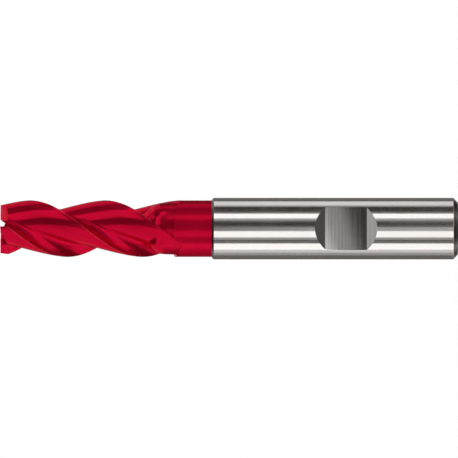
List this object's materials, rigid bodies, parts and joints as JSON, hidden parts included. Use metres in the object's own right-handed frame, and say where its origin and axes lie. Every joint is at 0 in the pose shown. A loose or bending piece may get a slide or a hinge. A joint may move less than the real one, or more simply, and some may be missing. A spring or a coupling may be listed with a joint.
{
  "type": "endmill",
  "caption": "Slim round milling cutter with helical flutes, relieved end teeth, a plain neck and a thicker cylindrical shank with a clamping flat.",
  "frame": {"origin": "centre of the shank's end face", "axes": "+Z along the tool's axis from the shank end to the cutting tip, -Y out of the clamping flat"},
  "size_m": [0.012, 0.012, 0.089],
  "materials": {
    "body": "ground"
  },
  "bodies": {
    "root": {"endmill": "body"}
  },
  "joints": []
}
